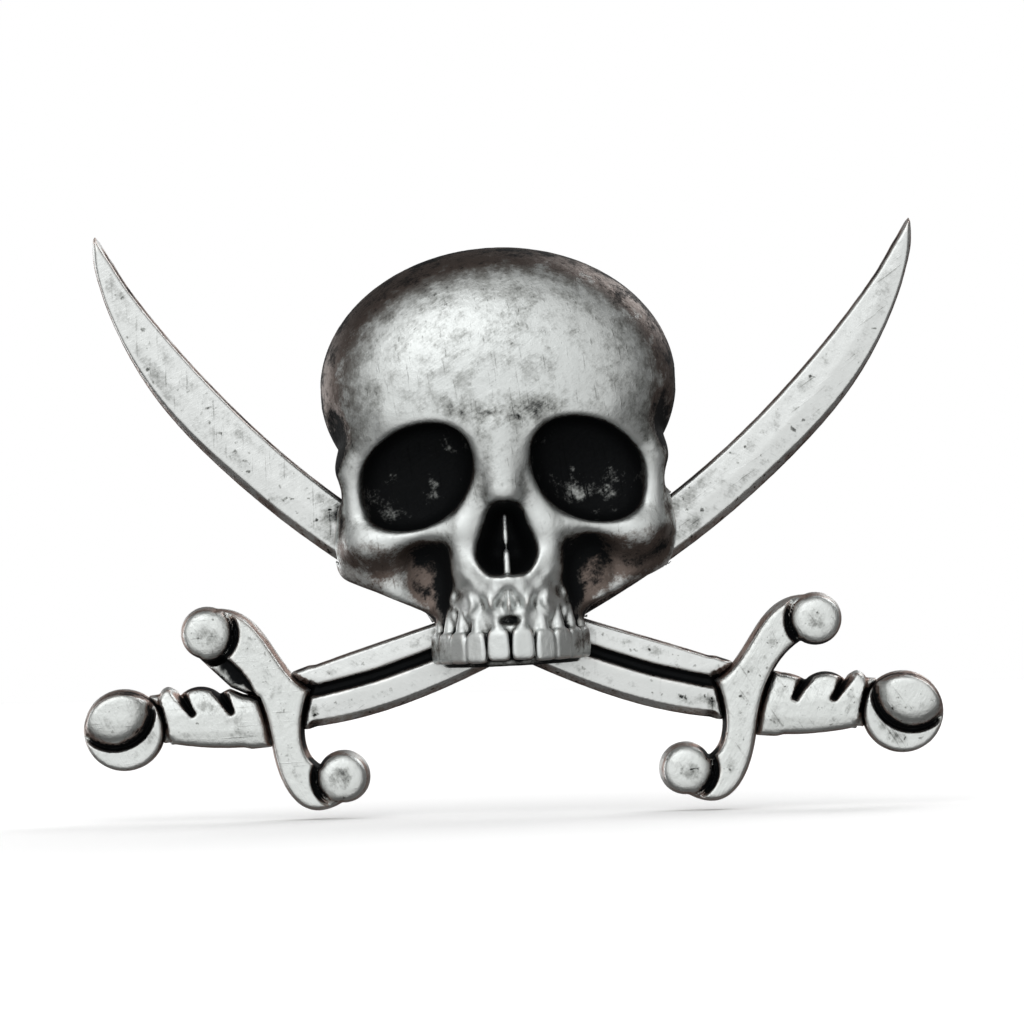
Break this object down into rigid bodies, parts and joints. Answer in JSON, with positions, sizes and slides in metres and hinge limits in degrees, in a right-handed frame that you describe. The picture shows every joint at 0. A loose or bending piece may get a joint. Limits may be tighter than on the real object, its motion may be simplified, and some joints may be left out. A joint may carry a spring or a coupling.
{
  "type": "lapel pin badge",
  "caption": "Cast metal lapel badge: a skull over crossed cutlasses, on a backing plate with grooved posts and sprung butterfly clutches.",
  "frame": {"origin": "on the flat back face of the backing plate, on the badge's centre line, level with the middle of the skull", "axes": "+X to the viewer's right, +Z to the top of the skull, -Y out of the badge's face, +Y along the posts"},
  "size_m": [0.0566, 0.0184, 0.0379],
  "materials": {
    "cast": "antiqued silver cast pewter",
    "blade": "antiqued silver, brushed flats",
    "hilt": "antiqued silver cast pewter",
    "plate": "matt antiqued nickel plate",
    "steel": "nickel-plated steel",
    "clutch": "nickel-plated brass, pressed",
    "wing": "nickel-plated spring brass"
  },
  "bodies": {
    "badge": {"skull": "cast", "back_plate": "plate", "rivets": "steel", "blade_left": "blade", "blade_right": "blade", "guard_left": "hilt", "guard_right": "hilt", "grip_left": "hilt", "grip_right": "hilt", "pommel_left": "hilt", "pommel_right": "hilt", "post_left": "steel", "post_right": "steel"},
    "clutch_left": {"clutch_left_disc": "clutch", "clutch_left_housing": "clutch"},
    "clutch_left_wing_upper": {"clutch_left_wing_upper": "wing"},
    "clutch_left_wing_lower": {"clutch_left_wing_lower": "wing"},
    "clutch_right": {"clutch_right_disc": "clutch", "clutch_right_housing": "clutch"},
    "clutch_right_wing_upper": {"clutch_right_wing_upper": "wing"},
    "clutch_right_wing_lower": {"clutch_right_wing_lower": "wing"}
  },
  "joints": [
    {"name": "clutch_left_slide", "type": "slide", "parent": "badge", "child": "clutch_left", "axis": [0, 1, 0], "range_m": [-0.0021, 0.0145]},
    {"name": "clutch_left_wing_upper_pivot", "type": "hinge", "parent": "clutch_left", "child": "clutch_left_wing_upper", "pos_m": [-0.0057, 0.00495, 0.0071], "axis": [-1, 0, 0], "range_deg": [0, 12], "stiffness_Nm_per_rad": 0.05},
    {"name": "clutch_left_wing_lower_pivot", "type": "hinge", "parent": "clutch_left", "child": "clutch_left_wing_lower", "pos_m": [-0.0057, 0.00495, 0.0017], "axis": [1, 0, 0], "range_deg": [0, 12], "stiffness_Nm_per_rad": 0.05},
    {"name": "clutch_right_slide", "type": "slide", "parent": "badge", "child": "clutch_right", "axis": [0, 1, 0], "range_m": [-0.0021, 0.0145]},
    {"name": "clutch_right_wing_upper_pivot", "type": "hinge", "parent": "clutch_right", "child": "clutch_right_wing_upper", "pos_m": [0.0057, 0.00495, 0.0071], "axis": [-1, 0, 0], "range_deg": [0, 12], "stiffness_Nm_per_rad": 0.05},
    {"name": "clutch_right_wing_lower_pivot", "type": "hinge", "parent": "clutch_right", "child": "clutch_right_wing_lower", "pos_m": [0.0057, 0.00495, 0.0017], "axis": [1, 0, 0], "range_deg": [0, 12], "stiffness_Nm_per_rad": 0.05}
  ]
}
